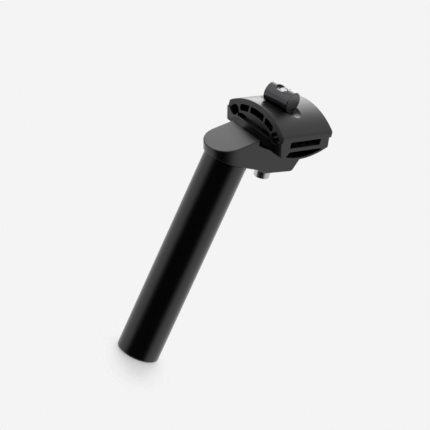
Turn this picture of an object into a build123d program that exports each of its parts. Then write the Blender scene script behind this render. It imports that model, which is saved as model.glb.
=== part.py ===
from build123d import *
import math
import os

# A bicycle seatpost: a short round tube with a forged setback head, and a
# two-piece saddle clamp that one long bolt draws down onto the head. The clamp
# rests on a curved seat, so the saddle's angle can be set. The origin is on the
# tube's axis at the foot of its straight wall, just above the chamfered end. +Z
# runs up the axis and +X points back along the head. All sizes are in
# millimetres and all angles in degrees.

# Tube
tube_diameter = 30.9
tube_wall = 2.7
tube_length = 154.2
tube_end_chamfer = 0.8

# Head, with the spigot that is bonded into the tube
spigot_length = 36
spigot_wall = 4
spigot_chamfer = 1
spigot_bore_depth = 38
glue_gap = 0.05
deck_slope = 30
deck_rise = 17.3
nose_offset = 8.7
belly_step = 1
belly_start = 26
belly_drop = 1.4
belly_slope = 11.5
tail_reach = 49.6
tail_lean = 14
tail_round = 2.5
head_edge_round = 0.6
head_foot_chamfer = 0.4

# Where the clamp stands: its parting plane crosses the bolt's axis here
clamp_tilt = 14.5
bolt_setback = 29.7
clamp_rise = 31.45

# Curved seat between the head and the cradle, and the range of the saddle's tilt
seat_radius = 51
seat_depth = 13.9
seat_front = 24.8
slide_gap = 0.25
tilt_nose_up = 8
tilt_nose_down = 5

# Outline that both halves of the clamp share
clamp_width = 59.5
clamp_front = 18.6
clamp_rear = 26.4

# Saddle rails
rail_diameter = 7
rail_spacing = 44
rail_lead_in = 0.7
lead_in_angle = 45

# Upper clamp
lip_height = 4
crown_height = 13.9
lip_corner_round = 2.3
arch_edge_round = 0.7
window_roof = 3.8
window_height = 4.7
window_half_span = 17.7
window_depth = 12
window_end_round = 1.7
window_corner_round = 0.6
rib_offset = 8
rib_width = 1.8
lens_rim = 1.6
lens_recess = 1.5
lens_wall = 2.2
upper_boss_diameter = 16

# Lower cradle
cradle_front_step = 1.2
cradle_front_lean = 14.5
cradle_rear_step = 1.6
cradle_rear_lean = 8
slit_height = 2
slit_half_width = 17.5
post_front = 9.5
post_rear = 8.2
tray_depth = 4.7
tray_floor = 2.7
hollow_rim = 1.4
hollow_front_wall = 7.5
hollow_rear_wall = 5.2
hollow_lean = 40
block_half_width = 16.6
strip_height = 0.8
recess_half_width = 17
recess_flare = 57.5
recess_depth = 4
cradle_corner_round = 1

# Clamp bolt, its washer and the rocker that carries both under the head
bolt_diameter = 6
bolt_end_sunk = 0.1
bolt_end_chamfer = 0.7
bolt_head_diameter = 11.2
bolt_head_height = 6
bolt_head_chamfer = 0.5
hex_across_flats = 5
hex_depth = 3
bolt_clearance = 0.4
thread_gap = 0.05
washer_diameter = 12
washer_thickness = 1.5
rocker_width = 12
rocker_length = 12
rocker_height = 5.2
rocker_side_gap = 0.3
rocker_edge_round = 0.8
rocker_travel_margin = 1
head_web = 15.4

# Barrel nut and its trough, both turned a little out of square
nut_diameter = 14.9
nut_length = 20.4
nut_turn = 12
nut_end_chamfer = 0.4
nut_face_diameter = 10
nut_face_depth = 1.6
nut_seat_gap = 0.05
trough_diameter = 21.6
trough_floor = 10.8

# Sizes that follow from those above
tube_radius = tube_diameter / 2
tube_bore_radius = tube_radius - tube_wall
spigot_radius = tube_bore_radius - glue_gap
clamp_half_width = clamp_width / 2
clamp_length = clamp_front + clamp_rear
cradle_front = clamp_front + cradle_front_step
cradle_rear = clamp_rear - cradle_rear_step
rail_radius = rail_diameter / 2
rail_offset = rail_spacing / 2
seat_axis_height = seat_radius - seat_depth
head_seat_radius = seat_radius + slide_gap
channel_radius = seat_radius + head_web
rocker_seat_radius = channel_radius + slide_gap
bolt_radius = bolt_diameter / 2
bolt_hole_radius = bolt_radius + bolt_clearance
washer_top = seat_axis_height - rocker_seat_radius - rocker_height
bolt_seat = washer_top - washer_thickness
arch_rise = crown_height - lip_height
arch_radius = (clamp_half_width**2 + arch_rise**2) / (2 * arch_rise)
arch_centre = crown_height - arch_radius
window_outer_radius = arch_radius - window_roof
window_inner_radius = window_outer_radius - window_height
lens_radius = window_inner_radius - lens_rim
lens_height = arch_centre + lens_radius
nut_radius = nut_diameter / 2
nut_height = trough_floor + nut_seat_gap + nut_radius
trough_radius = trough_diameter / 2
bolt_end = nut_height + nut_radius - nut_face_depth - bolt_end_sunk
bolt_length = bolt_end - bolt_seat


def turned(angle):
    """Cosine and sine of an angle in degrees."""
    return math.cos(math.radians(angle)), math.sin(math.radians(angle))


# Lean of the cradle's front and rear faces
front_cos, front_sin = turned(cradle_front_lean)
rear_cos, rear_sin = turned(cradle_rear_lean)
rear_reach = seat_depth * rear_sin / rear_cos
cradle_length = cradle_front + cradle_rear + rear_reach

# Deck: the flat sloping top of the head, its x running up the slope
deck_cos, deck_sin = turned(deck_slope)
deck = Plane(
    origin=(0, 0, tube_length + deck_rise),
    x_dir=(deck_cos, 0, deck_sin),
    z_dir=(-deck_sin, 0, deck_cos),
)

# The clamp's own planes meet where the bolt's axis crosses the parting plane:
# the parting plane, one upright plane along the rails and one across them.
tilt_cos, tilt_sin = turned(clamp_tilt)
clamp_origin = Vector(bolt_setback, 0, tube_length + clamp_rise)
rail_way = Vector(tilt_cos, 0, tilt_sin)
bolt_way = Vector(-tilt_sin, 0, tilt_cos)
parting = Plane(origin=clamp_origin, x_dir=rail_way, z_dir=bolt_way)
along = Plane(origin=clamp_origin, x_dir=rail_way, z_dir=(0, -1, 0))
across = Plane(origin=clamp_origin, x_dir=(0, 1, 0), z_dir=rail_way)

# The nut's axis lies flat in the clamp, turned out of square about the bolt
nut_cos, nut_sin = turned(nut_turn)
nut_way = Vector(nut_sin * tilt_cos, -nut_cos, nut_sin * tilt_sin)
nut_side = Vector(nut_cos * tilt_cos, nut_sin, nut_cos * tilt_sin)
nut_plane = Plane(origin=clamp_origin + bolt_way * nut_height, x_dir=nut_side, z_dir=nut_way)
trough_plane = Plane(
    origin=clamp_origin + bolt_way * (trough_floor + trough_radius),
    x_dir=nut_side,
    z_dir=nut_way,
)

# Tube
with BuildPart() as tube:
    with BuildSketch(Plane.XY.offset(-tube_end_chamfer)):
        Circle(tube_radius)
        Circle(tube_bore_radius, mode=Mode.SUBTRACT)
    extrude(amount=tube_end_chamfer + tube_length)
    chamfer(tube.edges().group_by(Axis.Z)[0], tube_end_chamfer)
tube.part.label = "tube"

# Head: the side view, with the nose rounded by an outline drawn on the deck
belly_cos, belly_sin = turned(belly_slope)
tail_cos, tail_sin = turned(tail_lean)
nose_end = -deck_rise * deck_cos / deck_sin
belly_height = tube_length - belly_drop
tail_height = belly_height + (tail_reach - belly_start) * belly_sin / belly_cos
with BuildPart() as head:
    with BuildSketch(Plane.XZ) as head_side:
        with BuildLine():
            Polyline(
                (nose_end, tube_length),
                (tube_radius + belly_step, tube_length),
                (belly_start, belly_height),
                (tail_reach, tail_height),
                (tail_reach + seat_radius * tail_sin / tail_cos, tail_height + seat_radius),
                (tail_reach, tube_length + deck_rise + tail_reach * deck_sin / deck_cos),
                close=True,
            )
        make_face()
        fillet(head_side.vertices().sort_by_distance((tail_reach, tail_height))[0], tail_round)
    extrude(amount=tube_diameter, both=True)
    with BuildSketch(deck):
        with Locations((-nose_offset, 0)):
            Circle(tube_radius)
            Rectangle(2 * tail_reach, tube_diameter, align=(Align.MIN, Align.CENTER))
    extrude(amount=tube_length, both=True, mode=Mode.INTERSECT)
    fillet(head.faces().filter_by(deck).edges().filter_by(Axis.Y, reverse=True), head_edge_round)
    under_faces = head.faces().filter_by(lambda face: face.normal_at().Z < -deck_sin)
    chamfer(under_faces.edges().filter_by(Axis.Y, reverse=True), head_foot_chamfer)

    # Curved seat for the cradle, with a low wall at its front
    with BuildSketch(along):
        with Locations((0, seat_axis_height)):
            Circle(head_seat_radius)
        with Locations((-seat_front, -seat_depth - slide_gap)):
            Rectangle(
                2 * head_seat_radius,
                2 * head_seat_radius,
                align=(Align.MIN, Align.MIN),
                mode=Mode.INTERSECT,
            )
    extrude(amount=tube_diameter, both=True, mode=Mode.SUBTRACT)

    # Channel in the belly for the rocker, open at the tail
    rocker_angle = tilt_nose_up + rocker_travel_margin
    rocker_reach = math.degrees(math.asin(rocker_length / 2 / rocker_seat_radius))
    channel_front = channel_radius * turned(rocker_angle + rocker_reach)[1]
    with BuildSketch(along):
        with Locations((-channel_front, seat_axis_height - channel_radius / 2)):
            Rectangle(channel_radius, channel_radius, align=(Align.MIN, Align.MAX))
        with Locations((0, seat_axis_height)):
            Circle(channel_radius, mode=Mode.SUBTRACT)
    extrude(amount=rocker_width / 2 + rocker_side_gap, both=True, mode=Mode.SUBTRACT)

    # Slot for the bolt, as long as its swing about the axis of the seat
    up_cos, up_sin = turned(tilt_nose_up)
    down_cos, down_sin = turned(tilt_nose_down)
    slot_reach = channel_radius + head_web
    slot_start = seat_radius / 2
    with BuildSketch(along):
        with Locations((0, seat_axis_height)):
            Polygon(
                (-slot_start * up_sin, -slot_start * up_cos),
                (-slot_reach * up_sin, -slot_reach * up_cos),
                (slot_reach * down_sin, -slot_reach * down_cos),
                (slot_start * down_sin, -slot_start * down_cos),
                align=None,
            )
    extrude(amount=bolt_hole_radius, both=True, mode=Mode.SUBTRACT)
    for swing in (tilt_nose_up, -tilt_nose_down):
        swing_cos, swing_sin = turned(clamp_tilt - swing)
        slot_end = Plane(
            origin=clamp_origin + bolt_way * seat_axis_height,
            x_dir=(0, 1, 0),
            z_dir=(swing_sin, 0, -swing_cos),
        )
        with BuildSketch(slot_end.offset(slot_start)):
            Circle(bolt_hole_radius)
        extrude(amount=slot_reach - slot_start, mode=Mode.SUBTRACT)

    # Spigot, bored out to save weight
    with BuildSketch(Plane.XY.offset(tube_length)):
        Circle(spigot_radius)
    extrude(amount=-spigot_length)
    spigot_foot = head.faces().sort_by(Axis.Z)[0]
    chamfer(spigot_foot.edges(), spigot_chamfer)
    with BuildSketch(Plane.XY.offset(tube_length - spigot_length)):
        Circle(spigot_radius - spigot_wall)
    extrude(amount=spigot_bore_depth, mode=Mode.SUBTRACT)
head.part.label = "head"

# Lower cradle: a half-moon block, solid over the head and hollow at both ends
bolt_line = Axis(clamp_origin, bolt_way)
front_line = Axis(clamp_origin, bolt_way * front_cos - rail_way * front_sin)
rear_line = Axis(clamp_origin, bolt_way * rear_cos - rail_way * rear_sin)
with BuildPart() as lower_cradle:
    with BuildSketch(along):
        Polygon(
            (-cradle_front, 0),
            (seat_radius * front_sin / front_cos - cradle_front, -seat_radius),
            (seat_radius * rear_sin / rear_cos + cradle_rear, -seat_radius),
            (cradle_rear, 0),
            align=None,
        )
        with Locations((0, seat_axis_height)):
            Circle(seat_radius, mode=Mode.INTERSECT)
    extrude(amount=clamp_half_width, both=True)
    fillet(lower_cradle.edges().filter_by(front_line), cradle_corner_round)
    fillet(lower_cradle.edges().filter_by(rear_line), cradle_corner_round)

    # Slit under the upper clamp, and a tray between the posts at either side
    with BuildSketch(parting):
        with Locations((-cradle_front, 0)):
            Rectangle(cradle_length, 2 * slit_half_width, align=(Align.MIN, Align.CENTER))
    extrude(amount=-slit_height, mode=Mode.SUBTRACT)
    for side in (-1, 1):
        with BuildSketch(parting):
            with Locations((post_front - cradle_front, side * clamp_half_width)):
                Rectangle(
                    cradle_front + cradle_rear - post_front - post_rear,
                    2 * (clamp_half_width - slit_half_width),
                    align=(Align.MIN, Align.CENTER),
                )
        extrude(amount=-tray_depth, mode=Mode.SUBTRACT)

    # Hollow under each tray: flat roof, leaning ends and a curved floor
    hollow_top = -tray_depth - tray_floor
    hollow_radius = seat_radius - hollow_rim
    lean_cos, lean_sin = turned(hollow_lean)
    front_tip = hollow_front_wall - cradle_front
    rear_tip = cradle_rear - hollow_rear_wall
    front_drop = hollow_top - seat_axis_height + math.sqrt(hollow_radius**2 - front_tip**2)
    rear_drop = hollow_top - seat_axis_height + math.sqrt(hollow_radius**2 - rear_tip**2)
    front_lean = front_drop * lean_sin / lean_cos
    rear_lean = rear_drop * lean_sin / lean_cos
    for side in (-1, 1):
        with BuildSketch(along.offset(-side * block_half_width)):
            Polygon(
                (front_tip + front_lean, hollow_top),
                (front_tip, hollow_top - front_drop),
                (front_tip, -seat_depth),
                (rear_tip, -seat_depth),
                (rear_tip, hollow_top - rear_drop),
                (rear_tip - rear_lean, hollow_top),
                align=None,
            )
            with Locations((0, seat_axis_height)):
                Circle(hollow_radius, mode=Mode.INTERSECT)
        extrude(amount=-side * clamp_half_width, mode=Mode.SUBTRACT)

    # Recess with sloping sides under the top edge, in front and at the rear
    flare_cos, flare_sin = turned(recess_flare)
    recess_top = -slit_height - strip_height
    recess_bottom = recess_top - seat_depth
    recess_foot = recess_half_width + seat_depth * flare_sin / flare_cos
    for face_x, depth in (
        (-cradle_front, recess_depth),
        (cradle_rear + rear_reach, -recess_depth - rear_reach),
    ):
        with BuildSketch(across.offset(face_x)):
            Polygon(
                (-recess_half_width, recess_top),
                (-recess_foot, recess_bottom),
                (recess_foot, recess_bottom),
                (recess_half_width, recess_top),
                align=None,
            )
        extrude(amount=depth, mode=Mode.SUBTRACT)

    # Rail grooves with a lead-in at each mouth
    with BuildSketch(across.offset(-cradle_front)):
        with Locations((-rail_offset, 0), (rail_offset, 0)):
            Circle(rail_radius)
    extrude(amount=cradle_length, mode=Mode.SUBTRACT)
    with BuildSketch(across.offset(cradle_rear)):
        with Locations((-rail_offset, 0), (rail_offset, 0)):
            Circle(rail_radius + rail_lead_in)
    extrude(amount=rear_reach, mode=Mode.SUBTRACT)
    for face_x, depth in ((-cradle_front, rail_lead_in), (cradle_rear, -rail_lead_in)):
        with BuildSketch(across.offset(face_x)):
            with Locations((-rail_offset, 0), (rail_offset, 0)):
                Circle(rail_radius + rail_lead_in)
        extrude(amount=depth, taper=lead_in_angle, mode=Mode.SUBTRACT)

    # Bolt hole
    with BuildSketch(parting):
        Circle(bolt_hole_radius)
    extrude(amount=-seat_radius, mode=Mode.SUBTRACT)
lower_cradle.part.label = "lower_cradle"

# Upper clamp: an arch with windows at both ends
with BuildPart() as upper_clamp:
    with BuildSketch(across.offset(-clamp_front)) as arch:
        Rectangle(clamp_width, crown_height, align=(Align.CENTER, Align.MIN))
        with Locations((0, arch_centre)):
            Circle(arch_radius, mode=Mode.INTERSECT)
        fillet(arch.vertices().group_by(Axis.Y)[-1], lip_corner_round)
    extrude(amount=clamp_length)
    arch_faces = upper_clamp.faces().filter_by(across)
    fillet(arch_faces.edges().filter_by(GeomType.CIRCLE), arch_edge_round)

    # Windows between two arcs, parted by ribs, and the shallow lens-shaped face
    # below them, in front and at the rear
    for face_x, way in ((-clamp_front, 1), (clamp_rear, -1)):
        with BuildSketch(across.offset(face_x)) as windows:
            with Locations((0, arch_centre)):
                Circle(window_outer_radius)
                Circle(window_inner_radius, mode=Mode.SUBTRACT)
            Rectangle(
                2 * window_half_span,
                crown_height,
                align=(Align.CENTER, Align.MIN),
                mode=Mode.INTERSECT,
            )
            with Locations((-rib_offset, 0), (rib_offset, 0)):
                Rectangle(rib_width, 2 * crown_height, mode=Mode.SUBTRACT)
            corners = windows.vertices().sort_by(Axis.X)
            fillet(corners[:2] + corners[-2:], window_end_round)
            fillet(corners[2:-2], window_corner_round)
        extrude(amount=way * window_depth, mode=Mode.SUBTRACT)
        with BuildSketch(across.offset(face_x)):
            with Locations((0, arch_centre)):
                Circle(lens_radius)
            Rectangle(
                clamp_width, crown_height, align=(Align.CENTER, Align.MIN), mode=Mode.INTERSECT
            )
        extrude(amount=way * lens_recess, mode=Mode.SUBTRACT)

    # Hollow underside with a boss around the bolt
    hollow_start = lens_recess + lens_wall
    with BuildSketch(across.offset(hollow_start - clamp_front)):
        with Locations((0, arch_centre)):
            Circle(lens_radius)
        Rectangle(
            clamp_width, crown_height, align=(Align.CENTER, Align.MIN), mode=Mode.INTERSECT
        )
    extrude(amount=clamp_length - 2 * hollow_start, mode=Mode.SUBTRACT)
    with BuildSketch(parting):
        Circle(upper_boss_diameter / 2)
    extrude(amount=lens_height + lens_rim / 2)

    # Trough for the nut, and the bolt hole
    with BuildSketch(trough_plane):
        Circle(trough_radius)
    extrude(amount=clamp_half_width, both=True, mode=Mode.SUBTRACT)
    with BuildSketch(parting):
        Circle(bolt_hole_radius)
    extrude(amount=crown_height, mode=Mode.SUBTRACT)

    # Rail grooves with a lead-in at each mouth
    with BuildSketch(across.offset(-clamp_front)):
        with Locations((-rail_offset, 0), (rail_offset, 0)):
            Circle(rail_radius)
    extrude(amount=clamp_length, mode=Mode.SUBTRACT)
    for face_x, depth in ((-clamp_front, rail_lead_in), (clamp_rear, -rail_lead_in)):
        with BuildSketch(across.offset(face_x)):
            with Locations((-rail_offset, 0), (rail_offset, 0)):
                Circle(rail_radius + rail_lead_in)
        extrude(amount=depth, taper=lead_in_angle, mode=Mode.SUBTRACT)
upper_clamp.part.label = "upper_clamp"

# Barrel nut, with a flat-bottomed counterbore where the bolt's end comes out
with BuildPart() as barrel_nut:
    with BuildSketch(nut_plane):
        Circle(nut_radius)
    extrude(amount=nut_length / 2, both=True)
    chamfer(barrel_nut.edges().filter_by(GeomType.CIRCLE), nut_end_chamfer)
    with BuildSketch(parting.offset(nut_height + nut_radius)):
        Circle(nut_face_diameter / 2)
    extrude(amount=-nut_face_depth, mode=Mode.SUBTRACT)
    with BuildSketch(parting):
        Circle(bolt_radius + thread_gap)
    extrude(amount=nut_height + nut_diameter, mode=Mode.SUBTRACT)
barrel_nut.part.label = "barrel_nut"

# Clamp bolt: socket head below, end flush in the nut's counterbore
with BuildPart() as clamp_bolt:
    with BuildSketch(parting.offset(bolt_seat)):
        Circle(bolt_radius)
    extrude(amount=bolt_length)
    bolt_tip = clamp_bolt.faces().sort_by(bolt_line)[-1]
    chamfer(bolt_tip.edges(), bolt_end_chamfer)
    with BuildSketch(parting.offset(bolt_seat)):
        Circle(bolt_head_diameter / 2)
    extrude(amount=-bolt_head_height)
    head_end = clamp_bolt.faces().sort_by(bolt_line)[0]
    chamfer(head_end.edges(), bolt_head_chamfer)
    with BuildSketch(parting.offset(bolt_seat - bolt_head_height)):
        RegularPolygon(hex_across_flats / 2, 6, major_radius=False)
    extrude(amount=hex_depth, mode=Mode.SUBTRACT)
clamp_bolt.part.label = "clamp_bolt"

# Washer under the bolt's head
with BuildPart() as washer:
    with BuildSketch(parting.offset(bolt_seat)):
        Circle(washer_diameter / 2)
        Circle(bolt_hole_radius, mode=Mode.SUBTRACT)
    extrude(amount=washer_thickness)
washer.part.label = "washer"

# Rocker: a block whose hollow top follows the curve of the belly's channel
with BuildPart() as rocker:
    with BuildSketch(along):
        with Locations((0, washer_top)):
            Rectangle(rocker_length, channel_radius, align=(Align.CENTER, Align.MIN))
        with Locations((0, seat_axis_height)):
            Circle(rocker_seat_radius, mode=Mode.SUBTRACT)
    extrude(amount=rocker_width / 2, both=True)
    rocker_foot = rocker.faces().sort_by(bolt_line)[0]
    fillet(rocker_foot.edges(), rocker_edge_round)
    with BuildSketch(parting.offset(washer_top)):
        Circle(bolt_hole_radius)
    extrude(amount=rocker_height * 2, mode=Mode.SUBTRACT)
rocker.part.label = "rocker"

os.makedirs("parts", exist_ok=True)
export_step(tube.part, "parts/tube.step")
export_step(head.part, "parts/head.step")
export_step(lower_cradle.part, "parts/lower_cradle.step")
export_step(upper_clamp.part, "parts/upper_clamp.step")
export_step(barrel_nut.part, "parts/barrel_nut.step")
export_step(clamp_bolt.part, "parts/clamp_bolt.step")
export_step(washer.part, "parts/washer.step")
export_step(rocker.part, "parts/rocker.step")
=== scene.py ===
import math

import bpy
from mathutils import Matrix, Vector


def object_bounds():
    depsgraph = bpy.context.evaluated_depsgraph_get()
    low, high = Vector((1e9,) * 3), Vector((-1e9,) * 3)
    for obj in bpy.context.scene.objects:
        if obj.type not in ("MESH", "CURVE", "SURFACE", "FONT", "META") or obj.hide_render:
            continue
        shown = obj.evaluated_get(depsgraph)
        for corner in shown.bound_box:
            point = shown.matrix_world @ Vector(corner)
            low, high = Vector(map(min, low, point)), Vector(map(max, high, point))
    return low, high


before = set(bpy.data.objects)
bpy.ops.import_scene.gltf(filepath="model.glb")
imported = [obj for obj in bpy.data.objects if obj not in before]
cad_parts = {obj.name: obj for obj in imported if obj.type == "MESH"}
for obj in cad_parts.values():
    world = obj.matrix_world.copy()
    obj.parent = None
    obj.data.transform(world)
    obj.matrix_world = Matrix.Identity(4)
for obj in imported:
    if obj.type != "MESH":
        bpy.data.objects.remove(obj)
cad_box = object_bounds()

# The tube: drawn aluminium, polished and then anodised gloss black. The dark skin
# mirrors its surroundings sharply and keeps faint draw lines along its length.


def srgb(code):
    """A colour written as #RRGGBB, as linear values with alpha."""
    values = [int(code[i:i + 2], 16) / 255 for i in (1, 3, 5)]
    return [v / 12.92 if v <= 0.04045 else ((v + 0.055) / 1.055) ** 2.4 for v in values] + [1]


def add(mat, kind, sockets=None, **settings):
    """Adds a node to a material or world, with its settings and links.

    A socket takes another node's output or a plain value, and is picked by its
    name or, where names repeat, by its place. A socket with a plain value can also
    stand among the settings, with _ for a space.
    """
    node = mat.node_tree.nodes.new(kind)
    for key, value in settings.items():
        if hasattr(node, key):
            setattr(node, key, value)
        else:
            node.inputs[key.replace("_", " ")].default_value = value
    for key, value in (sockets or {}).items():
        if isinstance(value, bpy.types.NodeSocket):
            mat.node_tree.links.new(value, node.inputs[key])
        else:
            node.inputs[key].default_value = value
    return node


def material(name):
    """A new material with no nodes in it."""
    mat = bpy.data.materials.new(name)
    mat.use_nodes = True
    mat.node_tree.nodes.clear()
    return mat


def dress(node_name, mat):
    """Gives a CAD node one material."""
    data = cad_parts[node_name].data
    data.materials.clear()
    data.materials.append(mat)


mm = 0.001
anodised_ior = 1.5
draw_line_spacing = 0.4 * mm  # wider than on the real tube, so that the lines show
draw_line_length = 83.3 * mm
draw_line_depth = 0.2 * mm
haze_size = 16.7 * mm

tube_black = material("black anodised aluminium, polished")
place = add(tube_black, "ShaderNodeTexCoord")
stretched = add(tube_black, "ShaderNodeMapping", {"Vector": place.outputs["Object"]},
                Scale=(1 / draw_line_spacing, 1 / draw_line_spacing, 1 / draw_line_length))
draw_lines = add(tube_black, "ShaderNodeTexNoise", {"Vector": stretched.outputs["Vector"]},
                 Scale=1, Detail=2)
haze = add(tube_black, "ShaderNodeTexNoise", {"Vector": place.outputs["Object"]},
           Scale=1 / haze_size, Detail=3)
gloss = add(tube_black, "ShaderNodeMapRange", {"Value": haze.outputs["Fac"]}, To_Min=0.17, To_Max=0.23)
shade = add(tube_black, "ShaderNodeMix", {
    "Factor": haze.outputs["Fac"],
    6: srgb("#070708"),
    7: srgb("#0B0B0C"),
}, data_type="RGBA")
relief = add(tube_black, "ShaderNodeBump", {"Height": draw_lines.outputs["Fac"]},
             Strength=0.05, Distance=draw_line_depth)
skin = add(tube_black, "ShaderNodeBsdfPrincipled", {
    "Base Color": shade.outputs[2],
    "Roughness": gloss.outputs["Result"],
    "Normal": relief.outputs["Normal"],
}, IOR=anodised_ior)
add(tube_black, "ShaderNodeOutputMaterial", {"Surface": skin.outputs["BSDF"]})
dress("tube", tube_black)

# The head, bonded into the tube, and the rocker under it: forged aluminium, tumbled
# and anodised a satin black. The two halves of the clamp, which the bolt pulls onto
# the head, are forged too, but blasted first, so they shine a little less.
grit_size = 0.25 * mm  # coarser than blasting leaves, so that it shows
grit_depth = 0.1 * mm
patch_size = 11.1 * mm
worn_edge = 0.7 * mm  # tumbling and blasting take the sharpness off every edge

for finish, roughness, pieces in (
    ("black anodised aluminium, satin", 0.26, ("head", "rocker")),
    ("black anodised aluminium, blasted", 0.32, ("lower_cradle", "upper_clamp")),
):
    black = material(finish)
    place = add(black, "ShaderNodeTexCoord")
    grit = add(black, "ShaderNodeTexNoise", {"Vector": place.outputs["Object"]},
               Scale=1 / grit_size, Detail=2)
    patches = add(black, "ShaderNodeTexNoise", {"Vector": place.outputs["Object"]},
                  Scale=1 / patch_size, Detail=4)
    gloss = add(black, "ShaderNodeMapRange", {"Value": patches.outputs["Fac"]},
                To_Min=roughness, To_Max=roughness + 0.06)
    shade = add(black, "ShaderNodeMix", {
        "Factor": patches.outputs["Fac"],
        6: srgb("#060607"),
        7: srgb("#0A0A0B"),
    }, data_type="RGBA")
    soft_edge = add(black, "ShaderNodeBevel", Radius=worn_edge)
    relief = add(black, "ShaderNodeBump", {
        "Height": grit.outputs["Fac"],
        "Normal": soft_edge.outputs["Normal"],
    }, Strength=0.15, Distance=grit_depth)
    skin = add(black, "ShaderNodeBsdfPrincipled", {
        "Base Color": shade.outputs[2],
        "Roughness": gloss.outputs["Result"],
        "Normal": relief.outputs["Normal"],
    }, IOR=anodised_ior)
    add(black, "ShaderNodeOutputMaterial", {"Surface": skin.outputs["BSDF"]})
    for piece in pieces:
        dress(piece, black)

# The barrel nut: a turned steel roller, blackened, that lies across the clamp and
# takes the bolt. The lathe left fine rings round its side, and round the middle of
# each end.
clamp_centre = Vector((29.7, 0, 185.65)) * mm  # where the bolt meets the plane of the rails
clamp_tilt = math.radians(14.5)
rail_way = Vector((math.cos(clamp_tilt), 0, math.sin(clamp_tilt)))
bolt_way = Vector((-math.sin(clamp_tilt), 0, math.cos(clamp_tilt)))
nut_turn = math.radians(12)
nut_way = rail_way * math.sin(nut_turn) - Vector((0, math.cos(nut_turn), 0))
nut_centre = clamp_centre + bolt_way * 18.3 * mm
ring_spacing = 0.5 * mm  # wider than the feed of a lathe, so that the rings show
ring_depth = 0.04 * mm
stain_size = 8 * mm

nut_black = material("blackened steel, turned")
place = add(nut_black, "ShaderNodeTexCoord")
from_centre = add(nut_black, "ShaderNodeVectorMath", {0: place.outputs["Object"], 1: nut_centre},
                  operation="SUBTRACT")
along = add(nut_black, "ShaderNodeVectorMath", {0: from_centre.outputs["Vector"], 1: nut_way},
            operation="DOT_PRODUCT")
outward = add(nut_black, "ShaderNodeVectorMath", {0: from_centre.outputs["Vector"], 1: nut_way},
              operation="CROSS_PRODUCT")
radius = add(nut_black, "ShaderNodeVectorMath", {0: outward.outputs["Vector"]}, operation="LENGTH")
side_rings = add(nut_black, "ShaderNodeTexNoise", {"W": along.outputs["Value"]}, noise_dimensions="1D",
                 Scale=1 / ring_spacing, Detail=2)
end_rings = add(nut_black, "ShaderNodeTexNoise", {"W": radius.outputs["Value"]}, noise_dimensions="1D",
                Scale=1 / ring_spacing, Detail=2)
rings = add(nut_black, "ShaderNodeMath", {0: side_rings.outputs["Fac"], 1: end_rings.outputs["Fac"]},
            operation="ADD")
stains = add(nut_black, "ShaderNodeTexNoise", {"Vector": place.outputs["Object"]},
             Scale=1 / stain_size, Detail=3)
gloss = add(nut_black, "ShaderNodeMapRange", {"Value": stains.outputs["Fac"]}, To_Min=0.22, To_Max=0.3)
shade = add(nut_black, "ShaderNodeMix", {
    "Factor": stains.outputs["Fac"],
    6: srgb("#545456"),
    7: srgb("#626264"),
}, data_type="RGBA")
relief = add(nut_black, "ShaderNodeBump", {"Height": rings.outputs["Value"]},
             Strength=0.6, Distance=ring_depth)
skin = add(nut_black, "ShaderNodeBsdfPrincipled", {
    "Base Color": shade.outputs[2],
    "Roughness": gloss.outputs["Result"],
    "Normal": relief.outputs["Normal"],
}, Metallic=1)
add(nut_black, "ShaderNodeOutputMaterial", {"Surface": skin.outputs["BSDF"]})
dress("barrel_nut", nut_black)

# The clamp bolt, which comes up through the head into the nut, and the washer under
# its head: steel, plated with zinc that has clouded a little. The shank is threaded
# from the middle of its length to its end, and the threaded part is painted darker,
# as painted shade for the thread's grooves.
thread_pitch = 1 * mm
thread_depth = 0.2 * mm  # a third of a real thread's, as it only has to show in the shading
thread_start = -6 * mm  # along the bolt from the clamp's centre
thread_runout = 1 * mm
cloud_size = 2.5 * mm

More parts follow.
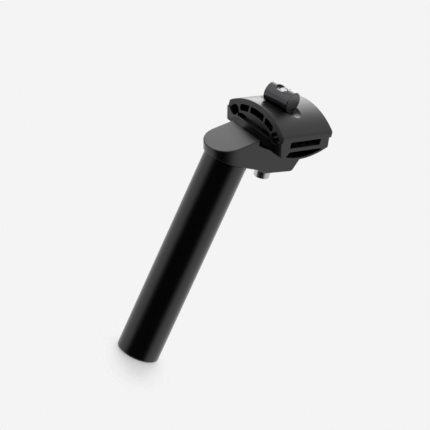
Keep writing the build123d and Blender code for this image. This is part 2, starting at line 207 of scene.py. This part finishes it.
for finish, threaded, piece in (
    ("zinc-plated steel, threaded", 1, "clamp_bolt"),
    ("zinc-plated steel", 0, "washer"),
):
    zinc = material(finish)
    place = add(zinc, "ShaderNodeTexCoord")
    from_centre = add(zinc, "ShaderNodeVectorMath", {0: place.outputs["Object"], 1: clamp_centre},
                      operation="SUBTRACT")
    along = add(zinc, "ShaderNodeVectorMath", {0: from_centre.outputs["Vector"], 1: bolt_way},
                operation="DOT_PRODUCT")
    across = add(zinc, "ShaderNodeVectorMath", {0: from_centre.outputs["Vector"], 1: rail_way},
                 operation="DOT_PRODUCT")
    sideways = add(zinc, "ShaderNodeSeparateXYZ", {"Vector": from_centre.outputs["Vector"]})
    angle = add(zinc, "ShaderNodeMath", {0: across.outputs["Value"], 1: sideways.outputs["Y"]},
                operation="ARCTAN2")
    turns = add(zinc, "ShaderNodeMath", {0: along.outputs["Value"], 1: 2 * math.pi / thread_pitch},
                operation="MULTIPLY")
    helix = add(zinc, "ShaderNodeMath", {0: turns.outputs["Value"], 1: angle.outputs["Value"]},
                operation="ADD")
    wave = add(zinc, "ShaderNodeMath", {0: helix.outputs["Value"]}, operation="SINE")
    cut = add(zinc, "ShaderNodeMapRange", {"Value": along.outputs["Value"]},
              From_Min=thread_start, From_Max=thread_start + thread_runout, To_Max=threaded)
    ridges = add(zinc, "ShaderNodeMath", {0: wave.outputs["Value"], 1: cut.outputs["Result"]},
                 operation="MULTIPLY")
    clouds = add(zinc, "ShaderNodeTexNoise", {"Vector": place.outputs["Object"]},
                 Scale=1 / cloud_size, Detail=4)
    gloss = add(zinc, "ShaderNodeMapRange", {"Value": clouds.outputs["Fac"]}, To_Min=0.22, To_Max=0.32)
    plate = add(zinc, "ShaderNodeMix", {
        "Factor": clouds.outputs["Fac"],
        6: srgb("#B4B6B8"),
        7: srgb("#C6C8CA"),
    }, data_type="RGBA")
    # Painted shade: the threaded part gets a darker colour in place of the shade in the thread's grooves.
    painted_thread_shade = add(zinc, "ShaderNodeMix", {
        "Factor": cut.outputs["Result"],
        6: plate.outputs[2],
        7: srgb("#7A7C7E"),
    }, data_type="RGBA")
    relief = add(zinc, "ShaderNodeBump", {"Height": ridges.outputs["Value"]},
                 Strength=1, Distance=thread_depth)
    skin = add(zinc, "ShaderNodeBsdfPrincipled", {
        "Base Color": painted_thread_shade.outputs[2],
        "Roughness": gloss.outputs["Result"],
        "Normal": relief.outputs["Normal"],
    }, Metallic=1)
    add(zinc, "ShaderNodeOutputMaterial", {"Surface": skin.outputs["BSDF"]})
    dress(piece, zinc)

# The camera: a metre off on the side of -X and -Y, a little above the middle of the
# post, and rolled so that the post leans in the picture.
camera_azimuth = math.radians(-47.86)
camera_elevation = math.radians(16.69)
camera_roll = math.radians(-24.74)
camera_target = Vector((13.67, -0.17, 110.85)) * mm
camera_distance = 994.4 * mm

toward_camera = Vector((math.sin(camera_azimuth), -math.cos(camera_azimuth), 0))
back = toward_camera * math.cos(camera_elevation) + Vector((0, 0, math.sin(camera_elevation)))
level = Vector((math.cos(camera_azimuth), math.sin(camera_azimuth), 0))
upright = back.cross(level)
right = level * math.cos(camera_roll) - upright * math.sin(camera_roll)
up = level * math.sin(camera_roll) + upright * math.cos(camera_roll)
lens = bpy.data.cameras.new("camera")
lens.sensor_width = 36
lens.lens = 121.04
camera = bpy.data.objects.new("camera", lens)
camera.matrix_world = (Matrix.Translation(camera_target + back * camera_distance)
                       @ Matrix((right, up, back)).transposed().to_4x4())
bpy.context.collection.objects.link(camera)
bpy.context.scene.camera = camera

# The floor: a sheet of pale paper that shows only in an oval round the tube's foot,
# where the shadow falls, and fades into the backdrop. Glossy and transmission rays
# pass through it to the backdrop.
oval_centre = Vector((-12, -10, 0)) * mm
oval_turn = math.radians(48)
oval_reach = (64 * mm, 34 * mm, 1)

bpy.ops.mesh.primitive_circle_add(vertices=96, radius=500 * mm, fill_type="NGON",
                                  location=(0, 0, cad_box[0][2]))
floor = bpy.context.object
floor.name = "floor"
pale = material("pale paper")
place = add(pale, "ShaderNodeTexCoord")
oval = add(pale, "ShaderNodeMapping", {"Vector": place.outputs["Object"]}, vector_type="TEXTURE",
           Location=oval_centre, Rotation=(0, 0, oval_turn), Scale=oval_reach)
reach = add(pale, "ShaderNodeVectorMath", {0: oval.outputs["Vector"]}, operation="LENGTH")
fade = add(pale, "ShaderNodeMapRange", {"Value": reach.outputs["Value"]}, interpolation_type="SMOOTHERSTEP",
           From_Min=0.1, From_Max=1, To_Min=1, To_Max=0)
path = add(pale, "ShaderNodeLightPath")
passing = add(pale, "ShaderNodeMath", {
    0: path.outputs["Is Glossy Ray"],
    1: path.outputs["Is Transmission Ray"],
}, operation="ADD")
solid = add(pale, "ShaderNodeMath", {0: fade.outputs["Result"], 1: passing.outputs["Value"]},
            operation="SUBTRACT", use_clamp=True)
paper = add(pale, "ShaderNodeBsdfDiffuse", Color=srgb("#FAFAFA"))
clear = add(pale, "ShaderNodeBsdfTransparent")
sheet = add(pale, "ShaderNodeMixShader", {
    0: solid.outputs["Value"],
    1: clear.outputs["BSDF"],
    2: paper.outputs["BSDF"],
})
add(pale, "ShaderNodeOutputMaterial", {"Surface": sheet.outputs["Shader"]})
floor.data.materials.append(pale)

# The tent: clear all round but for a flag of black felt behind the camera, which is
# the dark band that the tube and the nose mirror. Camera rays pass through the flag,
# so it hides nothing.
tent_radius = 2500 * mm
flag_begins = 0.25  # cosine of the angle from the camera's side where the felt begins
flag_full = 0.82  # and of the angle inside which no light comes through
flag_flatness = 4  # how much sooner the felt ends upward than sideways

bpy.ops.mesh.primitive_uv_sphere_add(segments=64, ring_count=32, radius=tent_radius)
tent = bpy.context.object
tent.name = "tent"
flag = material("black felt flag")
place = add(flag, "ShaderNodeTexCoord")
# The felt hangs straight down below the horizon, so only height above it counts.
raised = add(flag, "ShaderNodeVectorMath", {
    0: place.outputs["Object"],
    1: (-2 * tent_radius, -2 * tent_radius, 0),
}, operation="MAXIMUM")
steepened = add(flag, "ShaderNodeVectorMath", {0: raised.outputs["Vector"], 1: (1, 1, flag_flatness)},
                operation="MULTIPLY")
heading = add(flag, "ShaderNodeVectorMath", {0: steepened.outputs["Vector"]}, operation="NORMALIZE")
facing = add(flag, "ShaderNodeVectorMath", {0: heading.outputs["Vector"], 1: toward_camera},
             operation="DOT_PRODUCT")
cover = add(flag, "ShaderNodeMapRange", {"Value": facing.outputs["Value"]}, interpolation_type="SMOOTHSTEP",
            From_Min=flag_begins, From_Max=flag_full)
path = add(flag, "ShaderNodeLightPath")
solid = add(flag, "ShaderNodeMath", {0: cover.outputs["Result"], 1: path.outputs["Is Camera Ray"]},
            operation="SUBTRACT", use_clamp=True)
felt = add(flag, "ShaderNodeBsdfDiffuse", Color=srgb("#101010"))
clear = add(flag, "ShaderNodeBsdfTransparent")
cloth = add(flag, "ShaderNodeMixShader", {
    0: solid.outputs["Value"],
    1: clear.outputs["BSDF"],
    2: felt.outputs["BSDF"],
})
add(flag, "ShaderNodeOutputMaterial", {"Surface": cloth.outputs["Shader"]})
tent.data.materials.append(flag)

# The studio: a pale backdrop all round, a little off white. It is what the black
# skins mirror at their edges, and what the picture shows behind the post.
studio = bpy.data.worlds.new("studio")
studio.use_nodes = True
studio.node_tree.nodes.clear()
bpy.context.scene.world = studio
backdrop = add(studio, "ShaderNodeBackground", Color=srgb("#F4F4F4"), Strength=1)
add(studio, "ShaderNodeOutputWorld", {"Surface": backdrop.outputs["Background"]})

# The key light: a square softbox high behind the post, aimed at its upper half. It
# lights the deck and the top of the clamp, and makes the floor's shadow.
softbox_side = 900 * mm
softbox_place = Vector((620, 780, 750)) * mm
softbox_aim = Vector((0, 0, 150)) * mm

lamp = bpy.data.lights.new("softbox", "AREA")
lamp.shape = "RECTANGLE"
lamp.size = softbox_side
lamp.size_y = softbox_side
lamp.energy = 7.6
softbox = bpy.data.objects.new("softbox", lamp)
softbox.matrix_world = (Matrix.Translation(softbox_place)
                        @ (softbox_place - softbox_aim).to_track_quat("Z", "Y").to_matrix().to_4x4())
bpy.context.collection.objects.link(softbox)

bpy.context.scene.view_settings.view_transform = "Standard"
